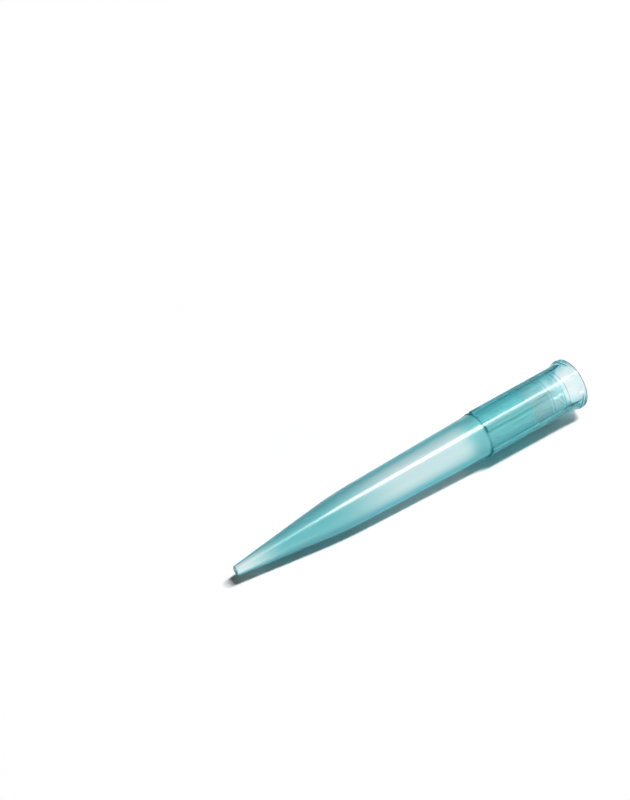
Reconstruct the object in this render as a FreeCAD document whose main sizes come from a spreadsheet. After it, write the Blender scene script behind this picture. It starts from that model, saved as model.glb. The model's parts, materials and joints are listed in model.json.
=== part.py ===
"""A universal 1000 microlitre pipette tip, moulded in one piece of polypropylene.

The tip is a body of revolution: a slender cone, a gentle knee, a nearly straight body and a
thicker collar that ends in a flared rim at the mouth. Straight ribs stand on the collar, and
the bore steps down three times so that pipette nozzles of several sizes seal in it.

Each body is drawn along its own X axis, from the drawn end at X = 0 to the mouth. Its placement
lays it on the plane Z = 0 as it comes to rest, on the knee and on the two lowest ribs (or on the
rim, where the ribs are low), with the origin under the middle of its bounding box.
"""
import FreeCAD, Part
import math
import os

import Sketcher

NODE = "pipette_tip"
PARTS_FOLDER = "parts"

# Driving dimensions, in millimetres: alias, value, what it sizes.
SIZES = (
    ("overall_length", 66.0, "drawn end to mouth"),
    ("end_diameter", 1.6, "outside, at the drawn end"),
    ("end_round", 0.34, "rounding of the drawn end"),
    ("end_wall", 0.35, "wall at the drawn end"),
    ("knee_distance", 19.0, "drawn end to where the two tapers cross"),
    ("knee_diameter", 6.2, "outside, where the two tapers cross"),
    ("knee_blend_radius", 80.0, "lengthwise rounding of the knee outside"),
    ("knee_bore_blend_radius", 70.0, "lengthwise rounding of the knee inside"),
    ("knee_wall", 0.6, "wall at the knee"),
    ("body_diameter", 7.56, "outside of the body, under the collar"),
    ("body_wall", 0.6, "wall under the collar"),
    ("collar_length", 19.5, "shoulder to mouth"),
    ("shoulder_step", 0.15, "width of the ledge between body and collar"),
    ("collar_spread", 0.09, "radius gained from the shoulder to the flare"),
    ("collar_wall", 0.35, "wall of the collar in the mouth"),
    ("flange_length", 2.6, "start of the flare to the mouth"),
    ("flange_land", 0.7, "straight rim at the mouth"),
    ("flange_overhang", 0.45, "height of the rim over the collar"),
    ("rim_round", 0.12, "rounding of the rim's outer edge"),
    ("rib_count", 6, "ribs round the collar"),
    ("rib_width", 0.95, "width of a rib"),
    ("rib_height", 0.36, "rib over the collar, at the shoulder"),
    ("mouth_lead_in", 0.25, "chamfer inside the mouth, across"),
    ("mouth_lead_in_length", 0.3, "chamfer inside the mouth, along the axis"),
    ("first_seat_length", 3.15, "mouth to the first ring"),
    ("second_seat_length", 3.05, "first ring to the second"),
    ("third_seat_length", 3.8, "second ring to the third"),
    ("ring_length", 0.75, "cone of each ring, along the axis"),
    ("ring_depth", 0.15, "radius lost at each ring"),
)

# Values worked out from the driving dimensions: alias, formula.
DERIVED = (
    ("end_radius", "sizes.end_diameter / 2"),
    ("knee_radius", "sizes.knee_diameter / 2"),
    ("body_radius", "sizes.body_diameter / 2"),
    ("collar_radius", "body_radius + sizes.shoulder_step"),
    ("collar_top_radius", "collar_radius + sizes.collar_spread"),
    ("flange_radius", "collar_top_radius + sizes.flange_overhang"),
    ("rib_top_radius", "collar_radius + sizes.rib_height"),
    ("rib_root_radius", "body_radius - sizes.body_wall / 2"),
    ("shoulder_distance", "sizes.overall_length - sizes.collar_length"),
    ("flare_distance", "sizes.overall_length - sizes.flange_length"),
    ("land_distance", "sizes.overall_length - sizes.flange_land"),
    # The bore follows the outside by its walls.
    ("orifice_radius", "end_radius - sizes.end_wall"),
    ("knee_bore_radius", "knee_radius - sizes.knee_wall"),
    ("body_bore_radius", "body_radius - sizes.body_wall"),
    ("first_seat_radius", "collar_top_radius - sizes.collar_wall"),
    ("second_seat_radius", "first_seat_radius - sizes.ring_depth"),
    ("third_seat_radius", "second_seat_radius - sizes.ring_depth"),
    ("throat_radius", "third_seat_radius - sizes.ring_depth"),
    ("lead_in_distance", "sizes.overall_length - sizes.mouth_lead_in_length"),
    ("mouth_radius", "first_seat_radius + sizes.mouth_lead_in"),
    ("first_ring_distance", "sizes.overall_length - sizes.first_seat_length"),
    ("second_ring_distance", "first_ring_distance - sizes.second_seat_length"),
    ("third_ring_distance", "second_ring_distance - sizes.third_seat_length"),
    # How it lies: the floor touches the knee's arc and, whichever lifts the mouth more, the
    # shoulder (its two lowest ribs or the collar between them) or the back edge of the rim.
    ("lower_taper", "atan((knee_radius - end_radius) / sizes.knee_distance)"),
    ("upper_taper", "atan((body_radius - knee_radius) / (shoulder_distance - sizes.knee_distance))"),
    ("knee_tangent", "sizes.knee_blend_radius * tan((lower_taper - upper_taper) / 2)"),
    (
        "knee_centre_distance",
        "sizes.knee_distance - knee_tangent * cos(lower_taper)"
        " + sizes.knee_blend_radius * sin(lower_taper)",
    ),
    (
        "knee_centre_radius",
        "knee_radius - knee_tangent * sin(lower_taper)"
        " - sizes.knee_blend_radius * cos(lower_taper)",
    ),
    (
        "rib_corner_depth",
        "rib_top_radius * cos(180 / sizes.rib_count)"
        " + sizes.rib_width / 2 * sin(180 / sizes.rib_count)",
    ),
    ("shoulder_depth", "max(rib_corner_depth; collar_radius)"),
    (
        "shoulder_reach",
        "sqrt((shoulder_distance - knee_centre_distance)^2"
        " + (shoulder_depth - knee_centre_radius)^2)",
    ),
    (
        "tilt_on_shoulder",
        "asin((shoulder_depth - knee_centre_radius) / shoulder_reach)"
        " - asin(sizes.knee_blend_radius / shoulder_reach)",
    ),
    (
        "rim_reach",
        "sqrt((land_distance - knee_centre_distance)^2"
        " + (flange_radius - knee_centre_radius)^2)",
    ),
    (
        "tilt_on_rim",
        "asin((flange_radius - knee_centre_radius) / rim_reach)"
        " - asin(sizes.knee_blend_radius / rim_reach)",
    ),
    ("rest_tilt", "max(tilt_on_shoulder; tilt_on_rim)"),
    (
        "rest_height",
        "knee_centre_radius * cos(rest_tilt) - knee_centre_distance * sin(rest_tilt)"
        " + sizes.knee_blend_radius",
    ),
    ("end_round_tangent", "sizes.end_round * tan((90 - lower_taper / 1 deg) / 2)"),
    (
        "rest_back",
        "sizes.end_round * (cos(rest_tilt) - 1)"
        " - (end_radius - end_round_tangent) * sin(rest_tilt)",
    ),
    (
        "rest_front",
        "(sizes.overall_length - sizes.rim_round) * cos(rest_tilt)"
        " + (flange_radius - sizes.rim_round) * sin(rest_tilt) + sizes.rim_round",
    ),
    ("rest_shift", "-(rest_back + rest_front) / 2"),
)


def add_sheet(document, name, rows):
    """Adds a spreadsheet with one aliased cell for each row, an alias and its text."""
    sheet = document.addObject("Spreadsheet::Sheet", name)
    for number, (alias, text, note) in enumerate(rows, start=1):
        sheet.set(f"A{number}", f"'{note or alias}")
        sheet.set(f"B{number}", text)
        sheet.setAlias(f"B{number}", alias)
    document.recompute()
    return sheet


def origin_plane(body, role):
    """Finds one of the body's own origin planes or axes by its role."""
    for feature in body.Origin.OriginFeatures:
        if feature.Role == role:
            return feature
    raise ValueError(f"{body.Label} has no {role}")


def add_sketch(body, name):
    """Adds a sketch on the body's XY plane: along the axis is X, across it is Y."""
    sketch = body.newObject("Sketcher::SketchObject", name)
    sketch.AttachmentSupport = (origin_plane(body, "XY_Plane"), [""])
    sketch.MapMode = "FlatFace"
    return sketch


class Outline:
    """A closed outline in a sketch, drawn corner by corner and fully held by the sheets.

    Each corner is a pair of expressions, its distance along the axis and its radius. A corner
    with a rounding is kept as a point where its two lines would cross, and an arc of that
    radius joins the lines.
    """

    def __init__(self, sketch, values):
        self.sketch = sketch
        self.values = values
        self.corners = []

    def number(self, expression):
        """Works an expression out now, to draw the sketch where its constraints hold it."""
        return float(self.values.evalExpression(expression))

    def corner(self, distance, radius, rounding=None, flare=False):
        """Adds a corner. With flare, a tangent arc leads to it instead of a line."""
        place = FreeCAD.Vector(self.number(distance), self.number(radius), 0)
        self.corners.append((place, distance, radius, rounding, flare))

    def rounding_of(self, index):
        """Where a corner's arc begins and ends, and its centre."""
        before = self.corners[index - 1][0]
        place, _, _, rounding, _ = self.corners[index]
        after = self.corners[(index + 1) % len(self.corners)][0]
        to_before = (before - place).normalize()
        to_after = (after - place).normalize()
        half = to_before.getAngle(to_after) / 2
        size = self.number(rounding)
        tangent = size / math.tan(half)
        centre = place + (to_before + to_after).normalize() * (size / math.sin(half))
        return place + to_before * tangent, place + to_after * tangent, centre

    def add_arc(self, first, last, centre):
        """Adds the short arc between two points, drawn anticlockwise as a sketch keeps it."""
        turn = (first - centre).cross(last - centre).z
        begin, finish = (first, last) if turn > 0 else (last, first)
        angles = [math.atan2(place.y - centre.y, place.x - centre.x) for place in (begin, finish)]
        if angles[1] < angles[0]:
            angles[1] += 2 * math.pi
        circle = Part.Circle(centre, FreeCAD.Vector(0, 0, 1), (begin - centre).Length)
        return self.sketch.addGeometry(Part.ArcOfCircle(circle, *angles), False)

    def hold(self, geometry, point, distance, radius):
        """Fixes a point by its distance along the axis and its radius."""
        for kind, expression in (("DistanceX", distance), ("DistanceY", radius)):
            size = self.number(expression)
            if size == 0 and expression == "0":
                axis = -2 if kind == "DistanceX" else -1
                self.sketch.addConstraint(Sketcher.Constraint("PointOnObject", geometry, point, axis))
                continue
            index = self.sketch.addConstraint(Sketcher.Constraint(kind, -1, 1, geometry, point, size))
            self.sketch.setExpression(f"Constraints[{index}]", expression)

    def draw(self):
        """Draws the outline and constrains it."""
        sketch = self.sketch
        count = len(self.corners)
        arcs = {i: self.rounding_of(i) for i in range(count) if self.corners[i][3]}
        starts = [arcs[i][1] if i in arcs else self.corners[i][0] for i in range(count)]
        ends = [arcs[i][0] if i in arcs else self.corners[i][0] for i in range(count)]
        edges = []
        for i in range(count):
            following = (i + 1) % count
            if self.corners[following][4]:
                edges.append(self.add_flare(edges[-1], starts[i], ends[following]))
            else:
                edges.append(sketch.addGeometry(Part.LineSegment(starts[i], ends[following]), False))
        for i in range(count):
            _, distance, radius, rounding, _ = self.corners[i]
            arriving = (edges[i - 1], 2)
            if self.corners[i][4]:
                arriving = (edges[i - 1], self.end_at(edges[i - 1], self.corners[i][0]))
            if i not in arcs:
                leaving = (edges[i], 1)
                if self.corners[(i + 1) % count][4]:
                    kind = "Tangent"
                    leaving = (edges[i], self.end_at(edges[i], self.corners[i][0]))
                else:
                    kind = "Coincident"
                sketch.addConstraint(Sketcher.Constraint(kind, *arriving, *leaving))
                self.hold(*arriving, distance, radius)
                continue
            arc = self.add_arc(*arcs[i])
            near = self.end_at(arc, arcs[i][0])
            corner = sketch.addGeometry(Part.Point(self.corners[i][0]), True)
            sketch.addConstraint(Sketcher.Constraint("PointOnObject", corner, 1, edges[i - 1]))
            sketch.addConstraint(Sketcher.Constraint("PointOnObject", corner, 1, edges[i]))
            sketch.addConstraint(Sketcher.Constraint("Tangent", edges[i - 1], 2, arc, near))
            sketch.addConstraint(Sketcher.Constraint("Tangent", arc, 3 - near, edges[i], 1))
            size = sketch.addConstraint(Sketcher.Constraint("Radius", arc, self.number(rounding)))
            sketch.setExpression(f"Constraints[{size}]", rounding)
            self.hold(corner, 1, distance, radius)

    def add_flare(self, previous, first, last):
        """Adds an arc that leaves the previous line smoothly and ends at a point."""
        line = self.sketch.Geometry[previous]
        along = (line.EndPoint - line.StartPoint).normalize()
        across = FreeCAD.Vector(-along.y, along.x, 0)
        chord = last - first
        size = chord.dot(chord) / (2 * chord.dot(across))
        return self.add_arc(first, last, first + across * size)

    def end_at(self, geometry, place):
        """Which end of an edge, 1 or 2, lies at a place."""
        edge = self.sketch.Geometry[geometry]
        near_start = edge.StartPoint.distanceToPoint(place) < edge.EndPoint.distanceToPoint(place)
        return 1 if near_start else 2


def draw_outside(body, values):
    """The half section of the outside, without the ribs, closed along the axis."""
    sketch = add_sketch(body, "outside_section")
    outline = Outline(sketch, values)
    outline.corner("0", "0")
    outline.corner("0", "derived.end_radius", rounding="sizes.end_round")
    outline.corner("sizes.knee_distance", "derived.knee_radius", rounding="sizes.knee_blend_radius")
    outline.corner("derived.shoulder_distance", "derived.body_radius")
    outline.corner("derived.shoulder_distance", "derived.collar_radius")
    outline.corner("derived.flare_distance", "derived.collar_top_radius")
    outline.corner("derived.land_distance", "derived.flange_radius", flare=True)
    outline.corner("sizes.overall_length", "derived.flange_radius", rounding="sizes.rim_round")
    outline.corner("sizes.overall_length", "0")
    outline.draw()
    return sketch


def draw_bore(body, values):
    """The half section of the bore: orifice, taper, body, three seats and the lead-in."""
    sketch = add_sketch(body, "bore_section")
    outline = Outline(sketch, values)
    outline.corner("0", "0")
    outline.corner("0", "derived.orifice_radius")
    outline.corner(
        "sizes.knee_distance", "derived.knee_bore_radius", rounding="sizes.knee_bore_blend_radius"
    )
    outline.corner("derived.shoulder_distance", "derived.body_bore_radius")
    seats = (
        ("derived.third_ring_distance", "derived.throat_radius", "derived.third_seat_radius"),
        ("derived.second_ring_distance", "derived.third_seat_radius", "derived.second_seat_radius"),
        ("derived.first_ring_distance", "derived.second_seat_radius", "derived.first_seat_radius"),
    )
    for ring_distance, inner_radius, seat_radius in seats:
        outline.corner(f"{ring_distance} - sizes.ring_length", inner_radius)
        outline.corner(ring_distance, seat_radius)
    outline.corner("derived.lead_in_distance", "derived.first_seat_radius")
    outline.corner("sizes.overall_length", "derived.mouth_radius")
    outline.corner("sizes.overall_length", "0")
    outline.draw()
    return sketch


def draw_rib(body, values):
    """The side of one rib, from the shoulder into the flared rim."""
    sketch = add_sketch(body, "rib_side")
    outline = Outline(sketch, values)
    outline.corner("derived.shoulder_distance", "derived.rib_root_radius")
    outline.corner("derived.shoulder_distance", "derived.rib_top_radius")
    outline.corner("derived.land_distance", "derived.rib_top_radius")
    outline.corner("derived.land_distance", "derived.rib_root_radius")
    outline.draw()
    return sketch


def make_tip(document, values):
    """The whole tip: the turned outside, the ribs, then the bore cut through both."""
    body = document.addObject("PartDesign::Body", NODE)
    body.Label = NODE

    outside = body.newObject("PartDesign::Revolution", "outside")
    outside.Profile = draw_outside(body, values)
    outside.ReferenceAxis = (origin_plane(body, "X_Axis"), [""])
    outside.Angle = 360
    document.recompute()

    rib = body.newObject("PartDesign::Pad", "rib")
    rib.Profile = draw_rib(body, values)
    rib.Midplane = True
    rib.setExpression("Length", "sizes.rib_width")
    document.recompute()

    ribs = body.newObject("PartDesign::PolarPattern", "ribs")
    ribs.Originals = [rib]
    ribs.Axis = (origin_plane(body, "X_Axis"), [""])
    ribs.Angle = 360
    ribs.setExpression("Occurrences", "sizes.rib_count")
    body.Tip = ribs
    document.recompute()
    solid_volume = body.Shape.Volume

    bore = body.newObject("PartDesign::Groove", "bore")
    bore.Profile = draw_bore(body, values)
    bore.ReferenceAxis = (origin_plane(body, "X_Axis"), [""])
    bore.Angle = 360
    body.Tip = bore
    document.recompute()
    if body.Shape.Volume > solid_volume * 0.8:
        raise RuntimeError("the bore has cut nothing")

    body.Placement = FreeCAD.Placement(
        FreeCAD.Vector(0, 0, 0), FreeCAD.Rotation(FreeCAD.Vector(0, -1, 0), 1)
    )
    body.setExpression("Placement.Rotation.Angle", "derived.rest_tilt")
    body.setExpression("Placement.Base.x", "derived.rest_shift")
    body.setExpression("Placement.Base.z", "derived.rest_height")
    document.recompute()
    return body


def check(document, bodies):
    """Stops the build if any object failed or any body has no valid solid."""
    for item in document.Objects:
        if "Invalid" in item.State or "Error" in item.State:
            raise RuntimeError(f"{item.Name} failed: {item.State}")
    for body in bodies:
        if body.Shape.isNull() or not body.Shape.isValid() or len(body.Shape.Solids) != 1:
            raise RuntimeError(f"{body.Label} is not one valid solid")


def main():
    """Builds the document and writes each sub-part's shape."""
    document = FreeCAD.newDocument("pipette_tip_document")
    add_sheet(document, "sizes", [(alias, str(value), note) for alias, value, note in SIZES])
    derived = add_sheet(document, "derived", [(alias, f"={text}", "") for alias, text in DERIVED])
    bodies = [make_tip(document, derived)]
    check(document, bodies)
    os.makedirs(PARTS_FOLDER, exist_ok=True)
    for body in bodies:
        body.Shape.exportStep(os.path.join(PARTS_FOLDER, f"{body.Label}.step"))
        print(body.Label, "volume", round(body.Shape.Volume, 3), "box", body.Shape.BoundBox)


main()
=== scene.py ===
"""A translucent teal pipette tip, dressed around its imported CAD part.

The tip is turned again here with softened edges, and stands for the CAD node. It lies on a pale
floor under soft studio light. It is modelled along X in millimetres, then placed in metres.
"""
import itertools
import json
import logging
import math
from collections.abc import Callable
from dataclasses import dataclass, field
from enum import Enum
from typing import Union

import bmesh
import bpy
from mathutils import Matrix, Vector

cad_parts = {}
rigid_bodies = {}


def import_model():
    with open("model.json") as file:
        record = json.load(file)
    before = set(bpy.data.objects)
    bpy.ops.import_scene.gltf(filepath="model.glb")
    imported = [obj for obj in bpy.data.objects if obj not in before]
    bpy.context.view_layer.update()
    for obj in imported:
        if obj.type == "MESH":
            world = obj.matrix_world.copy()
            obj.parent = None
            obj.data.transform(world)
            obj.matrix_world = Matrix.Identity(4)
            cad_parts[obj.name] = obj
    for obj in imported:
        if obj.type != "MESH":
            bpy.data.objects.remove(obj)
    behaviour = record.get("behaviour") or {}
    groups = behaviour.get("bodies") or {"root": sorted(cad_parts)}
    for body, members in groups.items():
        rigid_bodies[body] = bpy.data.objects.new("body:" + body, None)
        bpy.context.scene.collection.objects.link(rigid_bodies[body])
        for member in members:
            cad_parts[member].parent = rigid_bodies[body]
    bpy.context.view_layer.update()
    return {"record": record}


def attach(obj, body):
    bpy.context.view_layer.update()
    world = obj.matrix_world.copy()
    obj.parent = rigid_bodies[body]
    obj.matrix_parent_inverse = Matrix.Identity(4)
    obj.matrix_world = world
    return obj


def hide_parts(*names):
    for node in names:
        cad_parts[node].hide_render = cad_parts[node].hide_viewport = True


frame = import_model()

NODE = "pipette_tip"
BODY = "root"
MM = 0.001
MERGE = 1e-4
SLACK = 1e-3
DIGITS = 5
ORIGIN = (0.0, 0.0, 0.0)
TIP_AXIS = (1.0, 0.0, 0.0)

log = logging.getLogger("pipette_tip")


class Kind(Enum):
    """What is chosen in edit mode."""

    VERT = "verts"
    EDGE = "edges"
    FACE = "faces"


class MeshDesk:
    """One mesh object on the bench: what its edit mode is asked to do."""

    def __init__(self, thing: bpy.types.Object) -> None:
        """Takes an object and makes it the only one selected.

        Args:
            thing: The mesh object.
        """
        self.thing = thing
        for other in bpy.context.view_layer.objects:
            other.select_set(False)
        thing.select_set(True)
        bpy.context.view_layer.objects.active = thing

    def __enter__(self) -> "MeshDesk":
        """Goes into edit mode."""
        bpy.ops.object.mode_set(mode="EDIT")
        return self

    def __exit__(self, *_: object) -> None:
        """Goes back to object mode."""
        bpy.ops.object.mode_set(mode="OBJECT")

    def choose(self, kind: Kind, test: Callable[..., bool]) -> int:
        """Selects what passes a test, among what isn't hidden.

        Args:
            kind: Whether vertices, edges or faces are chosen.
            test: Says whether one of them is chosen.

        Returns:
            How many were chosen.
        """
        bpy.ops.mesh.select_mode(type=kind.name)
        bpy.ops.mesh.select_all(action="DESELECT")
        mesh = bmesh.from_edit_mesh(self.thing.data)
        chosen = [item for item in getattr(mesh, kind.value) if not item.hide and test(item)]
        for item in chosen:
            item.select_set(True)
        mesh.select_flush_mode()
        bmesh.update_edit_mesh(self.thing.data)
        return len(chosen)

    def stations(self) -> list[float]:
        """The distances along the axis at which the vertices that aren't hidden stand."""
        mesh = bmesh.from_edit_mesh(self.thing.data)
        return sorted({round(vert.co.x, DIGITS) for vert in mesh.verts if not vert.hide})


@dataclass(frozen=True)
class Rest:
    """Where the tip lies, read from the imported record's mounts.

    Attributes:
        end: Centre of the drawn end, in metres.
        axis: Direction from the drawn end to the mouth.
    """

    end: Vector
    axis: Vector

    @classmethod
    def from_record(cls, record: dict, length: float) -> "Rest":
        """Works out the tip's place.

        Args:
            record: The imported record.
            length: The tip's length, in millimetres.

        Returns:
            The place at which the tip lies.
        """
        mounts = {mount["name"]: mount for mount in record["mounts"]}
        axis = Vector(mounts["ejector_face"]["axis"]).normalized()
        seat = Vector(mounts["nozzle_socket"]["pos_m"])
        face = Vector(mounts["ejector_face"]["pos_m"])
        mouth = seat + axis * (face - seat).dot(axis)
        return cls(mouth - axis * length * MM, axis)

    def matrix(self) -> Matrix:
        """Works out the move from the tip's own frame, in millimetres, to where it lies.

        Returns:
            The move, which also turns millimetres into metres.
        """
        side = Vector((0, 1, 0))
        turn = Matrix((self.axis, side, self.axis.cross(side))).transposed().to_4x4()
        return Matrix.Translation(self.end) @ turn @ Matrix.Scale(MM, 4)


@dataclass(frozen=True)
class TipSizes:
    """Driving sizes of the tip, in millimetres, as the CAD part has them."""

    overall_length: float = 66.0
    end_radius: float = 0.8
    end_round: float = 0.34
    end_wall: float = 0.35
    knee_distance: float = 19.0
    knee_radius: float = 3.1
    knee_blend: float = 80.0
    knee_bore_blend: float = 70.0
    knee_wall: float = 0.6
    body_radius: float = 3.78
    body_wall: float = 0.6
    collar_length: float = 19.5
    shoulder_step: float = 0.15
    collar_spread: float = 0.09
    collar_wall: float = 0.35
    flange_length: float = 2.6
    flange_land: float = 0.7
    flange_overhang: float = 0.45
    rim_round: float = 0.12
    rib_count: int = 6
    rib_width: float = 0.95
    rib_height: float = 0.36
    lead_in: float = 0.25
    lead_in_length: float = 0.3
    seats: tuple[float, ...] = (3.15, 3.05, 3.8)
    ring_length: float = 0.75
    ring_depth: float = 0.15

    @property
    def shoulder(self) -> float:
        """Distance from the drawn end to the shoulder."""
        return self.overall_length - self.collar_length

    @property
    def flare(self) -> float:
        """Distance from the drawn end to where the collar begins to flare."""
        return self.overall_length - self.flange_length

    @property
    def land(self) -> float:
        """Distance from the drawn end to the straight rim."""
        return self.overall_length - self.flange_land

    @property
    def collar_radius(self) -> float:
        """Radius of the collar at the shoulder."""
        return self.body_radius + self.shoulder_step

    @property
    def collar_top_radius(self) -> float:
        """Radius of the collar where it begins to flare."""
        return self.collar_radius + self.collar_spread

    @property
    def flange_radius(self) -> float:
        """Radius of the rim."""
        return self.collar_top_radius + self.flange_overhang

    @property
    def rib_top(self) -> float:
        """Distance of a rib's top from the axis."""
        return self.collar_radius + self.rib_height

    @property
    def seat_radius(self) -> float:
        """Radius of the seat at the mouth."""
        return self.collar_top_radius - self.collar_wall

    @property
    def rings(self) -> tuple[float, ...]:
        """Distances from the drawn end to the rings where the bore steps in, the nearest first."""
        ends = itertools.accumulate(self.seats)
        return tuple(sorted(self.overall_length - end for end in ends))


@dataclass
class Section:
    """A section line: points as distance along the axis and radius, in millimetres."""

    points: list[Vector] = field(default_factory=list)

    def run(self, distance: float, radius: float, step: float = 0.0) -> None:
        """Adds a straight run.

        Args:
            distance: The run's end, along the axis.
            radius: The run's end, from the axis.
            step: The longest piece of the run, or nothing for one piece.
        """
        place = Vector((distance, radius))
        if self.points and step:
            start = self.points[-1]
            count = max(1, math.ceil((place - start).length / step))
            self.points += [start.lerp(place, i / count) for i in range(1, count)]
        self.points.append(place)

    def corner(self, place: Vector, after: Vector, size: float, count: int, step: float = 0.0) -> None:
        """Adds a run and an arc that rounds its corner.

        Args:
            place: Where the run and the next one would cross.
            after: A point on the next run.
            size: The arc's radius.
            count: How many pieces the arc has.
            step: The longest piece of the run that leads to the arc.
        """
        back = (self.points[-1] - place).normalized()
        ahead = (after - place).normalized()
        half = back.angle(ahead) / 2
        reach = size / math.tan(half)
        centre = place + (back + ahead).normalized() * (size / math.sin(half))
        first = place + back * reach
        last = place + ahead * reach
        self.run(*first, step)
        self.arc(centre, last, count)

    def arc(self, centre: Vector, last: Vector, count: int) -> None:
        """Adds an arc from the last point about a centre, the short way round.

        Args:
            centre: The arc's centre.
            last: The arc's end.
            count: How many pieces it has.
        """
        spoke = self.points[-1] - centre
        begin = math.atan2(spoke.y, spoke.x)
        finish = math.atan2(last.y - centre.y, last.x - centre.x)
        turn = math.remainder(finish - begin, math.tau)
        for i in range(1, count + 1):
            angle = begin + turn * i / count
            self.points.append(centre + Vector((math.cos(angle), math.sin(angle))) * spoke.length)

    def stop_at(self, radius: float) -> None:
        """Adds a point where the line last rises past a radius.

        Args:
            radius: The radius, from the axis.
        """
        for i in range(len(self.points) - 1, 0, -1):
            before, after = self.points[i - 1], self.points[i]
            if before.y < radius < after.y:
                share = (radius - before.y) / (after.y - before.y)
                self.points.insert(i, before.lerp(after, share))
                return

    def flare(self, last: Vector, count: int) -> None:
        """Adds an arc that leaves the last run smoothly and ends at a point.

        Args:
            last: The arc's end.
            count: How many pieces it has.
        """
        along = (self.points[-1] - self.points[-2]).normalized()
        across = along.orthogonal()
        chord = last - self.points[-1]
        size = chord.length_squared / (2 * chord.dot(across))
        self.arc(self.points[-1] + across * size, last, count)


@dataclass(frozen=True)
class Mark:
    """A small raised mark on the collar or on a rib.

    Attributes:
        start: Distance from the shoulder, in millimetres.
        length: Length along the axis.
        bearing: Where the mark is centred, in degrees round the axis from +Y.
        columns: Which faces across the bearing are raised.
        height: How far they are raised.
    """

    start: float
    length: float
    bearing: float
    columns: tuple[int, ...]
    height: float = 0.06

    def ends(self, shoulder: float) -> tuple[float, float]:
        """Where the mark begins and ends along the axis."""
        return shoulder + self.start, shoulder + self.start + self.length


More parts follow.
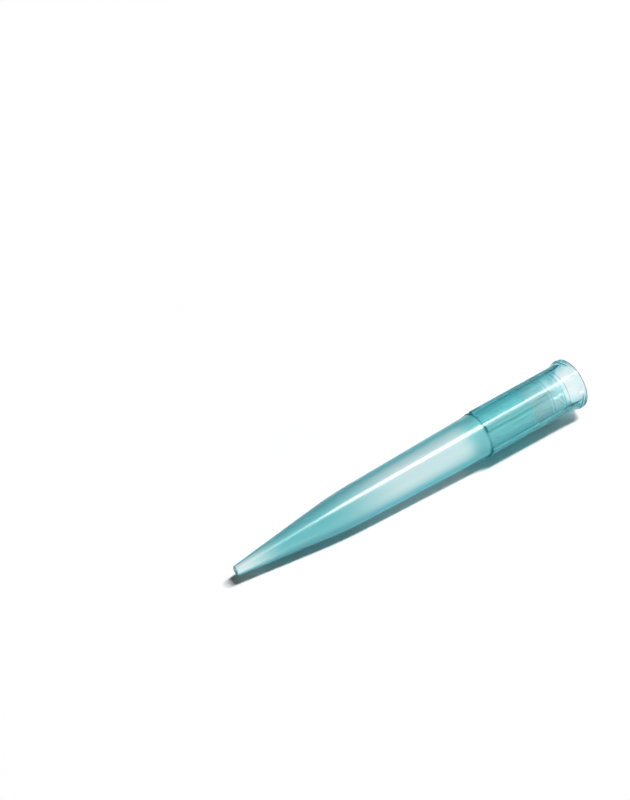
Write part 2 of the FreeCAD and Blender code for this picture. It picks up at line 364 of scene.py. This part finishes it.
@dataclass
class Tip:
    """The whole tip: one moulding, turned from a closed section, with ribs on its collar.

    Attributes:
        sizes: The tip's driving sizes.
        sector_steps: Faces round the axis from one rib to the next.
        rib_steps: Faces across a rib.
        run_step: Longest face along the axis.
        end_steps: Faces along the drawn end's rounding.
        knee_steps: Faces along the blend from the cone to the body.
        flare_steps: Faces along the flare of the rim.
        rim_steps: Faces along the rim's rounding.
        edge_round: Rounding of a rib's edges.
        edge_steps: Faces across that rounding.
        round_stop: How far short of the straight rim the rounding ends.
        ring_lip: Height of each of the two sharp edges of a ring.
        ring_slope: Length of such an edge, along the axis.
        smooth_angle: Steepest crease that is shaded smooth, in degrees.
        marks: Small raised marks that the mould leaves.
    """

    sizes: TipSizes = field(default_factory=TipSizes)
    sector_steps: int = 31
    rib_steps: int = 7
    run_step: float = 2.5
    end_steps: int = 8
    knee_steps: int = 24
    flare_steps: int = 16
    rim_steps: int = 6
    edge_round: float = 0.06
    edge_steps: int = 2
    round_stop: float = 0.8
    ring_lip: float = 0.11
    ring_slope: float = 0.03
    smooth_angle: float = 25.0
    marks: tuple[Mark, ...] = (
        Mark(start=10.9, length=1.3, bearing=120.0, columns=(1, 3, 5)),
        Mark(start=7.0, length=1.2, bearing=141.0, columns=(3, 4)),
    )

    def section(self) -> list[Vector]:
        """Draws the closed line that the tip is turned from.

        Returns:
            Its points, those of the outside first and then those of the bore.
        """
        s = self.sizes
        line = Section()
        line.run(0, s.end_radius - s.end_wall)
        knee = Vector((s.knee_distance, s.knee_radius))
        body = Vector((s.shoulder, s.body_radius))
        line.corner(Vector((0, s.end_radius)), knee, s.end_round, self.end_steps)
        line.corner(knee, body, s.knee_blend, self.knee_steps, self.run_step)
        line.run(*body, self.run_step)
        line.run(s.shoulder, s.collar_radius)
        for distance in sorted(end for mark in self.marks for end in mark.ends(s.shoulder)):
            share = (distance - s.shoulder) / (s.flare - s.shoulder)
            line.run(distance, s.collar_radius + s.collar_spread * share, self.run_step)
        line.run(s.flare, s.collar_top_radius, self.run_step)
        line.flare(Vector((s.land, s.flange_radius)), self.flare_steps)
        line.stop_at(s.rib_top)
        mouth = Vector((s.overall_length, s.seat_radius + s.lead_in))
        rim = Vector((s.overall_length, s.flange_radius))
        line.corner(rim, mouth, s.rim_round, self.rim_steps)
        line.run(*mouth)
        line.run(s.overall_length - s.lead_in_length, s.seat_radius)
        radius = s.seat_radius
        for ring in reversed(s.rings):
            for edge in (ring, ring - s.ring_length):
                line.run(edge, radius, self.run_step)
                line.run(edge - self.ring_slope, radius - self.ring_lip)
                radius -= s.ring_depth / 2
        line.run(s.shoulder, s.body_radius - s.body_wall, self.run_step)
        knee_bore = Vector((s.knee_distance, s.knee_radius - s.knee_wall))
        line.corner(knee_bore, line.points[0], s.knee_bore_blend, self.knee_steps, self.run_step)
        line.run(*line.points[0], self.run_step)
        return line.points[:-1]

    def build(self, rest: Rest) -> bpy.types.Object:
        """Models the tip and lays it in its place.

        Args:
            rest: Where the tip lies.

        Returns:
            The finished mesh object.
        """
        tip = self.turn_sector()
        self.raise_rib(tip)
        self.complete(tip)
        self.raise_marks(tip)
        self.finish(tip, rest)
        return tip

    @property
    def sector(self) -> float:
        """Angle from one rib to the next."""
        return math.tau / self.sizes.rib_count

    @property
    def rib_reach(self) -> float:
        """Half the angle across a rib."""
        return self.sector / self.sector_steps * self.rib_steps / 2

    def turn_sector(self) -> bpy.types.Object:
        """Draws the section and turns it by one rib's share, centred on the rib at +Y.

        Returns:
            The sector's mesh object.
        """
        lean = Matrix.Rotation(self.sector / 2, 3, "X")
        points = [lean @ Vector((*point, 0)) for point in self.section()]
        bpy.ops.mesh.primitive_plane_add(size=1, location=ORIGIN)
        tip = bpy.context.active_object
        tip.name = "tip"
        with MeshDesk(tip) as desk:
            desk.choose(Kind.VERT, lambda vert: True)
            bpy.ops.mesh.merge(type="CENTER")
            desk.choose(Kind.VERT, lambda vert: True)
            bpy.ops.transform.translate(value=points[0])
            for start, end in zip(points, points[1:]):
                bpy.ops.mesh.extrude_region_move(TRANSFORM_OT_translate={"value": end - start})
            ends = (points[0], points[-1])
            desk.choose(Kind.VERT, lambda vert: min((vert.co - end).length for end in ends) < MERGE)
            bpy.ops.mesh.edge_face_add()
            bpy.ops.mesh.select_all(action="SELECT")
            bpy.ops.mesh.spin(steps=self.sector_steps, angle=self.sector, center=ORIGIN, axis=TIP_AXIS)
        return tip

    def on_rib(self, face: bmesh.types.BMFace) -> bool:
        """Says whether the rib at +Y is raised from a face of the collar or the flare.

        Args:
            face: The face.

        Returns:
            Whether it lies within the rib's width, below the rib's top.
        """
        s = self.sizes
        centre = face.calc_center_median()
        return (
            abs(math.atan2(centre.z, centre.y)) < self.rib_reach
            and s.shoulder < centre.x < s.land
            and centre.yz.length > s.collar_radius - MERGE
            and max(vert.co.yz.length for vert in face.verts) < s.rib_top + SLACK
        )

    def on_rib_edge(self, edge: bmesh.types.BMEdge) -> bool:
        """Says whether an edge of the rib's top is rounded.

        Args:
            edge: The edge.

        Returns:
            Whether it runs along the rib's side or foot, short of the rim.
        """
        s = self.sizes
        ends = [vert.co for vert in edge.verts]
        top = all(abs(end.yz.length - s.rib_top) < SLACK for end in ends)
        side = all(abs(abs(math.atan2(end.z, end.y)) - self.rib_reach) < MERGE for end in ends)
        foot = all(end.x < s.shoulder + MERGE for end in ends)
        return top and (side or foot) and max(end.x for end in ends) < s.land - self.round_stop

    def raise_rib(self, tip: bpy.types.Object) -> None:
        """Raises the rib at +Y from the collar, until it runs into the flare.

        Args:
            tip: The sector's mesh object.
        """
        s = self.sizes
        with MeshDesk(tip) as desk:
            log.info("rib: raised from %d faces", desk.choose(Kind.FACE, self.on_rib))
            bpy.ops.mesh.extrude_region_move()
            bpy.ops.mesh.hide(unselected=True)
            for station in desk.stations():
                desk.choose(Kind.VERT, lambda vert: abs(vert.co.x - station) < MERGE)
                mesh = bmesh.from_edit_mesh(tip.data)
                radius = max(vert.co.yz.length for vert in mesh.verts if vert.select)
                grow = max(s.rib_top / radius, 1)
                bpy.ops.transform.resize(value=(1, grow, grow), center_override=ORIGIN)
            bpy.ops.mesh.reveal(select=False)
            desk.choose(Kind.VERT, lambda vert: True)
            bpy.ops.mesh.remove_doubles(threshold=MERGE)
            log.info("rib: %d edges rounded", desk.choose(Kind.EDGE, self.on_rib_edge))
            bpy.ops.mesh.bevel(
                offset=self.edge_round, segments=self.edge_steps, affect="EDGES", clamp_overlap=False
            )

    def complete(self, tip: bpy.types.Object) -> None:
        """Copies the sector round the axis and closes the seams.

        Args:
            tip: The sector's mesh object, which becomes the whole tip's.
        """
        copies = self.sizes.rib_count - 1
        with MeshDesk(tip) as desk:
            desk.choose(Kind.FACE, lambda face: True)
            bpy.ops.mesh.spin(
                steps=copies, dupli=True, angle=self.sector * copies, center=ORIGIN, axis=TIP_AXIS
            )
            desk.choose(Kind.VERT, lambda vert: True)
            bpy.ops.mesh.remove_doubles(threshold=MERGE)
            bpy.ops.mesh.select_all(action="SELECT")
            bpy.ops.mesh.normals_make_consistent(inside=False)

    def on_mark(self, face: bmesh.types.BMFace, mark: Mark) -> bool:
        """Says whether a mark is raised from a face.

        Args:
            face: The face.
            mark: The mark.

        Returns:
            Whether it lies on the collar's outside, within one of the mark's columns.
        """
        start, end = mark.ends(self.sizes.shoulder)
        centre = face.calc_center_median()
        bearing = math.atan2(centre.z, centre.y) - math.radians(mark.bearing)
        column = round(math.remainder(bearing, math.tau) / self.sector * self.sector_steps)
        outer = centre.yz.length > self.sizes.collar_radius
        return outer and start < centre.x < end and column + self.rib_steps // 2 in mark.columns

    def raise_marks(self, tip: bpy.types.Object) -> None:
        """Raises the small marks that the mould leaves.

        Args:
            tip: The tip's mesh object.
        """
        with MeshDesk(tip) as desk:
            for mark in self.marks:
                count = desk.choose(Kind.FACE, lambda face: self.on_mark(face, mark))
                log.info("mark: raised from %d faces", count)
                bpy.ops.mesh.extrude_region_shrink_fatten(
                    TRANSFORM_OT_shrink_fatten={"value": mark.height}
                )

    def finish(self, tip: bpy.types.Object, rest: Rest) -> None:
        """Shades the tip smooth and lays it in its place.

        Args:
            tip: The tip's mesh object.
            rest: Where the tip lies.
        """
        MeshDesk(tip)
        bpy.ops.object.shade_smooth_by_angle(angle=math.radians(self.smooth_angle))
        tip.matrix_world = rest.matrix()
        bpy.ops.object.transform_apply(location=True, rotation=True, scale=True)


Number = Union["Socket", float]
Colour = tuple[float, float, float, float]
Triple = tuple[float, float, float]
WHITE = (1.0, 1.0, 1.0, 1.0)


class Socket:
    """A node's output, with the arithmetic that shader maths needs."""

    def __init__(self, graph: "Graph", output: bpy.types.NodeSocket | None) -> None:
        """Wraps an output of a node in a graph."""
        self.graph = graph
        self.output = output

    def math(self, operation: str, *others: Number, flip: bool = False) -> "Socket":
        """Adds a Math node for this value and others.

        Args:
            operation: The Math node's operation.
            others: The other values.
            flip: Whether this value comes last.

        Returns:
            The result.
        """
        values = (*others, self) if flip else (self, *others)
        return self.graph.add("ShaderNodeMath", dict(enumerate(values)), operation=operation)

    def __add__(self, other: Number) -> "Socket":
        """The sum."""
        return self.math("ADD", other)

    def __radd__(self, other: Number) -> "Socket":
        """The sum, with this value last."""
        return self.math("ADD", other, flip=True)

    def __sub__(self, other: Number) -> "Socket":
        """The difference."""
        return self.math("SUBTRACT", other)

    def __rsub__(self, other: Number) -> "Socket":
        """The difference, with this value last."""
        return self.math("SUBTRACT", other, flip=True)

    def __mul__(self, other: Number) -> "Socket":
        """The product."""
        return self.math("MULTIPLY", other)

    def __rmul__(self, other: Number) -> "Socket":
        """The product, with this value last."""
        return self.math("MULTIPLY", other, flip=True)

    def clip(self) -> "Socket":
        """This value, held between 0 and 1."""
        return self.math("MINIMUM", 1.0).math("MAXIMUM", 0.0)

    def ramp(self, low: float, high: float) -> "Socket":
        """A smooth step from 0 at a low value to 1 at a high one."""
        values = {"Value": self, "From Min": low, "From Max": high}
        return self.graph.add("ShaderNodeMapRange", values, interpolation_type="SMOOTHSTEP")


class Graph:
    """A material's or the world's nodes, added one at a time by one method."""

    def __init__(self, tree: bpy.types.NodeTree) -> None:
        """Empties a node tree and takes it."""
        tree.nodes.clear()
        self.tree = tree

    def add(
        self, kind: str, values: dict | None = None, out: str | int = 0, **settings: object
    ) -> Socket:
        """Adds a node.

        Args:
            kind: The node's type.
            values: Its sockets' values or links, by name or number.
            out: Which output is wanted.
            settings: The node's own settings, made first.

        Returns:
            The output asked for.
        """
        node = self.tree.nodes.new(kind)
        for name, value in settings.items():
            setattr(node, name, value)
        for name, value in (values or {}).items():
            if isinstance(value, Socket):
                self.tree.links.new(value.output, node.inputs[name])
            else:
                node.inputs[name].default_value = value
        return Socket(self, node.outputs[out]) if node.outputs else Socket(self, None)

    def mix(self, share: Number, first: object, second: object) -> Socket:
        """A colour between two, by a share."""
        values = {0: share, 6: first, 7: second}
        return self.add("ShaderNodeMix", values, out=2, data_type="RGBA", clamp_factor=True)

    def times(self, first: Socket, second: Triple) -> Socket:
        """A colour or a place, times another, part by part."""
        return self.add("ShaderNodeVectorMath", {0: first, 1: second}, operation="MULTIPLY")

    def seen(self) -> Socket:
        """Picks out what the camera sees, straight or by way of gloss or clear plastic.

        Returns:
            1 for such a ray, and 0 for one that has met something matt on its way.
        """
        kinds = ("Camera", "Glossy", "Transmission")
        rays = [self.add("ShaderNodeLightPath", out=f"Is {kind} Ray") for kind in kinds]
        matt = self.add("ShaderNodeLightPath", out="Diffuse Depth")
        return (rays[0] + rays[1] + rays[2] - matt * len(kinds)).clip()

    def noise(self, place: Socket) -> Socket:
        """Noise between -0.5 and 0.5, with one lump to each unit of a place."""
        return self.add("ShaderNodeTexNoise", {"Vector": place, "Scale": 1.0}) - 0.5


@dataclass(frozen=True)
class Look:
    """How the plastic looks at one place.

    Attributes:
        tint: Colour of what goes through it.
        scattered: Colour of what it scatters.
        milk: Share of the light that it scatters.
    """

    tint: Colour
    scattered: Colour
    milk: float


@dataclass(frozen=True)
class Skin:
    """How the plastic's skin shines.

    Attributes:
        roughness: Its roughness.
        gloss: Strength of what it reflects face on, where 1 is a polished mould's.
        coat: Weight of the broader shine over it.
        coat_roughness: Roughness of that shine.
    """

    roughness: float
    gloss: float
    coat: float = 0.0
    coat_roughness: float = 0.22


@dataclass(frozen=True)
class Stretch:
    """A stretch of the tip over which its look passes to a new one.

    Attributes:
        start: Distance from the drawn end at which the change starts, in millimetres.
        end: Distance at which it ends.
        look: The look beyond it.
    """

    start: float
    end: float
    look: Look


@dataclass(frozen=True)
class TintedPolypropylene:
    """Translucent teal polypropylene: milky and satin on the body, clear and glossy on the collar.

    A part of the surface scatters light and the rest lets it through, by a share that changes
    along the tip. At a grazing look both colours are made deeper, as painted shade that darkens
    the edges; for what goes through, this also stands for the longer path through tinted plastic.

    Attributes:
        absorbed: Colour that a long way through the plastic leaves.
        density: How strongly it absorbs, for each metre.
        index: Its index of refraction.
        body_skin: Skin of the clear part on the cone and body.
        collar_skin: Skin of the clear part on the collar.
        satin_roughness: Roughness of the part that scatters.
        end_look: The look at the drawn end.
        stretches: How the look changes along the cone and the body.
        collar_look: The look of the collar.
        collar_fade: How far before the shoulder the body starts to pass to that look, and ends.
        ring_looks: The looks past each ring, the last one at the mouth.
        gloss_fade: Length before the shoulder over which the gloss passes to the collar's.
        streak_scale: Lumps of the flow streaks to each metre, along and across the tip.
        streak_depth: How strongly they change the share that is scattered.
        edge_depth_and_shade: Painted edge shade on what goes through at a grazing look, partly the
            longer path through tinted plastic.
        edge_depth_and_shade_from: Where that starts and where it is whole, from 0 face on to 1 edge
            on.
        painted_edge_shade: Painted edge shade on what is scattered, at a grazing look.
        painted_edge_shade_from: Where that starts and where it is whole.
    """

    absorbed: Colour = (0.0, 0.82, 0.84, 1.0)
    density: float = 320.0
    index: float = 1.49
    body_skin: Skin = Skin(roughness=0.28, gloss=1.0, coat=0.35)
    collar_skin: Skin = Skin(roughness=0.12, gloss=0.3)
    satin_roughness: float = 0.20
    end_look: Look = Look((0.70, 0.92, 0.94, 1.0), (0.86, 0.99, 0.99, 1.0), 0.55)
    stretches: tuple[Stretch, ...] = (
        Stretch(1.0, 9.0, Look((0.18, 0.68, 0.73, 1.0), (0.24, 0.80, 0.83, 1.0), 0.40)),
        Stretch(15.0, 31.0, Look((0.17, 0.66, 0.71, 1.0), (0.76, 0.97, 0.98, 1.0), 0.56)),
    )
    collar_look: Look = Look((0.28, 0.92, 0.94, 1.0), (0.40, 0.94, 0.95, 1.0), 0.29)
    collar_fade: tuple[float, float] = (5.0, 1.5)
    ring_looks: tuple[Look, ...] = (
        Look((0.44, 0.84, 0.87, 1.0), (0.66, 0.97, 0.97, 1.0), 0.26),
        Look((0.70, 0.94, 0.95, 1.0), (0.80, 0.99, 0.99, 1.0), 0.20),
        Look((0.95, 0.94, 0.95, 1.0), (0.86, 0.92, 0.93, 1.0), 0.08),
    )
    gloss_fade: float = 0.5
    streak_scale: Triple = (40.0, 1300.0, 1300.0)
    streak_depth: float = 0.45
    edge_depth_and_shade: Triple = (0.06, 0.56, 0.64)
    edge_depth_and_shade_from: tuple[float, float] = (0.08, 0.50)
    painted_edge_shade: Triple = (0.0, 0.52, 0.61)
    painted_edge_shade_from: tuple[float, float] = (0.12, 0.60)

    def changes(self, sizes: TipSizes) -> list[Stretch]:
        """Lists how the look changes from the drawn end to the mouth.

        Args:
            sizes: The tip's driving sizes.

        Returns:
            The stretches, in order.
        """
        first, last = self.collar_fade
        collar = Stretch(sizes.shoulder - first, sizes.shoulder - last, self.collar_look)
        rings = [
            Stretch(ring - sizes.ring_length, ring, look)
            for ring, look in zip(sizes.rings, self.ring_looks)
        ]
        return [*self.stretches, collar, *rings]

    def clear(self, graph: Graph, tint: Socket, skin: Skin) -> Socket:
        """Makes the shader of the plastic that light goes through.

        Args:
            graph: The material's nodes.
            tint: Colour of what goes through.
            skin: How its skin shines.

        Returns:
            The shader.
        """
        values = {
            "Base Color": tint,
            "Roughness": skin.roughness,
            "IOR": self.index,
            "Specular Tint": (skin.gloss, skin.gloss, skin.gloss, 1.0),
            "Transmission Weight": 1.0,
            "Coat Weight": skin.coat,
            "Coat Roughness": skin.coat_roughness,
        }
        return graph.add("ShaderNodeBsdfPrincipled", values)

    def material(self, sizes: TipSizes, rest: Rest) -> bpy.types.Material:
        """Makes the material.

        Args:
            sizes: The tip's driving sizes.
            rest: Where the tip lies.

        Returns:
            The material.
        """
        material = bpy.data.materials.new("tinted_polypropylene")
        material.use_nodes = True
        graph = Graph(material.node_tree)
        place = graph.add("ShaderNodeTexCoord", out="Object")
        along = graph.add(
            "ShaderNodeVectorMath", {0: place, 1: rest.axis}, out="Value", operation="DOT_PRODUCT"
        )
        distance = (along - rest.end.dot(rest.axis)) * (1 / MM)
        tint, scattered, milk = self.end_look.tint, self.end_look.scattered, self.end_look.milk
        for change in self.changes(sizes):
            share = distance.ramp(change.start, change.end)
            tint = graph.mix(share, tint, change.look.tint)
            scattered = graph.mix(share, scattered, change.look.scattered)
            milk = share * (change.look.milk - milk) + milk
        streaks = graph.noise(graph.times(place, self.streak_scale))
        milk = (milk * (1 + streaks * self.streak_depth)).clip()
        # Painted shade on the edges: at a grazing look the tint and the scattered colour both turn
        # darker; for the tint this partly stands for the longer path through tinted plastic.
        grazing = graph.add("ShaderNodeLayerWeight", out="Facing")
        edge_shaded_tint = graph.times(tint, self.edge_depth_and_shade)
        tint = graph.mix(grazing.ramp(*self.edge_depth_and_shade_from), tint, edge_shaded_tint)
        edge_shaded_scattered = graph.times(scattered, self.painted_edge_shade)
        scattered = graph.mix(grazing.ramp(*self.painted_edge_shade_from), scattered, edge_shaded_scattered)
        body = self.clear(graph, tint, self.body_skin)
        collar = self.clear(graph, tint, self.collar_skin)
        share = distance.ramp(sizes.shoulder - self.gloss_fade, sizes.shoulder)
        clear = graph.add("ShaderNodeMixShader", {0: share, 1: body, 2: collar})
        satin = graph.add(
            "ShaderNodeBsdfPrincipled",
            {"Base Color": scattered, "Roughness": self.satin_roughness, "IOR": self.index},
        )
        surface = graph.add("ShaderNodeMixShader", {0: milk, 1: clear, 2: satin})
        volume = graph.add(
            "ShaderNodeVolumeAbsorption", {"Color": self.absorbed, "Density": self.density}
        )
        graph.add("ShaderNodeOutputMaterial", {"Surface": surface, "Volume": volume})
        return material


@dataclass(frozen=True)
class PaleFloor:
    """The pale floor that the tip lies on.

    It keeps the tip's shadow, and farther off it passes to the plain backdrop, for what is seen.

    Attributes:
        colour: Its colour.
        half: Half its width, in metres.
        near: How far from the tip's middle it begins to pass to the backdrop, in metres.
        far: How far off it is all backdrop.
        backdrop: Strength of the backdrop, where 1 is white.
    """

    colour: Colour = (0.98, 0.98, 0.98, 1.0)
    half: float = 3.0
    near: float = 0.10
    far: float = 0.30
    backdrop: float = 1.0

    def build(self) -> bpy.types.Object:
        """Lays the floor.

        Returns:
            The floor's mesh object.
        """
        bpy.ops.mesh.primitive_plane_add(size=self.half * 2, location=ORIGIN)
        floor = bpy.context.active_object
        floor.name = "floor"
        material = bpy.data.materials.new("pale_floor")
        material.use_nodes = True
        graph = Graph(material.node_tree)
        place = graph.add("ShaderNodeTexCoord", out="Object")
        reach = graph.add("ShaderNodeVectorMath", {0: place}, out="Value", operation="LENGTH")
        matt = graph.add("ShaderNodeBsdfDiffuse", {"Color": self.colour})
        backdrop = graph.add("ShaderNodeEmission", {"Color": WHITE, "Strength": self.backdrop})
        share = reach.ramp(self.near, self.far) * graph.seen()
        surface = graph.add("ShaderNodeMixShader", {0: share, 1: matt, 2: backdrop})
        graph.add("ShaderNodeOutputMaterial", {"Surface": surface})
        floor.data.materials.append(material)
        return floor


@dataclass(frozen=True)
class Lamp:
    """A rectangular studio lamp that faces the tip.

    Attributes:
        name: Its name.
        place: Where it hangs, in metres.
        size: Its length, as nearly along X as it can lie, and its width, in metres.
        level: What it gives a surface that faces it, where 1 shows a colour as it is written.
    """

    name: str
    place: tuple[float, float, float]
    size: tuple[float, float]
    level: float

    def hang(self) -> bpy.types.Object:
        """Hangs the lamp.

        Returns:
            The lamp's object.
        """
        lamp = bpy.data.lights.new(self.name, "AREA")
        lamp.shape = "RECTANGLE"
        lamp.size, lamp.size_y = self.size
        place = Vector(self.place)
        lamp.energy = self.level * math.pi**2 * place.length_squared
        out = place.normalized()
        length = (Vector(TIP_AXIS) - out * out.x).normalized()
        holder = bpy.data.objects.new(self.name, lamp)
        turn = Matrix((length, out.cross(length), out)).transposed().to_4x4()
        holder.matrix_world = Matrix.Translation(place) @ turn
        bpy.context.scene.collection.objects.link(holder)
        return holder


@dataclass(frozen=True)
class Studio:
    """Plain studio light: a long soft key overhead, a low fill in front and a dim surround.

    Attributes:
        surround: Strength of the light from all round.
        backdrop: Strength at which the surround is seen, where 1 is white.
        key: The key lamp.
        fill: The fill lamp.
    """

    surround: float = 0.02
    backdrop: float = 1.0
    key: Lamp = Lamp("key", (1.5, -0.2, 3.8), (2.4, 0.55), 1.14)
    fill: Lamp = Lamp("fill", (-0.8, -4.0, 0.13), (1.6, 0.22), 0.55)

    def build(self) -> None:
        """Lights the scene."""
        scene = bpy.context.scene
        scene.view_settings.view_transform = "Standard"
        world = bpy.data.worlds.new("surround")
        scene.world = world
        world.use_nodes = True
        graph = Graph(world.node_tree)
        strength = graph.seen() * (self.backdrop - self.surround) + self.surround
        light = graph.add("ShaderNodeBackground", {"Color": WHITE, "Strength": strength})
        graph.add("ShaderNodeOutputWorld", {"Surface": light})
        self.key.hang()
        self.fill.hang().visible_glossy = False


@dataclass(frozen=True)
class Viewpoint:
    """The camera, set by what it aims at and from where.

    Attributes:
        azimuth: Which way it looks, in degrees: 0 along +Y, 90 along -X.
        elevation: How far above the floor it stands, in degrees.
        roll: How far it leans, in degrees.
        distance: From the camera to what it aims at, in metres.
        aim: The point on the floor that it aims at, in metres.
        lens: Focal length, in millimetres, on a sensor 36 mm long.
        near: Nearest thing that the camera shows, in metres.
    """

    azimuth: float = -34.81
    elevation: float = 47.53
    roll: float = 0.56
    distance: float = 0.27195
    aim: tuple[float, float, float] = (-0.00189, 0.0241, 0.0)
    lens: float = 72.73
    near: float = 0.01

    def build(self) -> None:
        """Sets the camera up."""
        across, up = math.radians(self.azimuth), math.radians(self.elevation)
        back = Vector(
            (math.sin(across) * math.cos(up), -math.cos(across) * math.cos(up), math.sin(up))
        )
        data = bpy.data.cameras.new("camera")
        data.lens = self.lens
        data.clip_start = self.near
        camera = bpy.data.objects.new("camera", data)
        lean = Matrix.Rotation(math.radians(self.roll), 4, "Z")
        turn = (-back).to_track_quat("-Z", "Y").to_matrix().to_4x4()
        camera.matrix_world = Matrix.Translation(Vector(self.aim) + back * self.distance) @ turn @ lean
        bpy.context.scene.collection.objects.link(camera)
        bpy.context.scene.camera = camera


def main() -> None:
    """Builds the tip and the studio in order, and reports each piece."""
    logging.basicConfig(level=logging.INFO, format="%(name)s: %(message)s")
    maker = Tip()
    rest = Rest.from_record(frame["record"], maker.sizes.overall_length)
    tip = maker.build(rest)
    tip.data.materials.append(TintedPolypropylene().material(maker.sizes, rest))
    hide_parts(NODE)
    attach(tip, BODY)
    log.info("tip: %d faces", len(tip.data.polygons))
    floor = PaleFloor().build()
    log.info("floor: %.1f m wide", floor.dimensions.x)
    Studio().build()
    Viewpoint().build()
    log.info("studio and camera: ready")


if __name__ == "__main__":
    main()
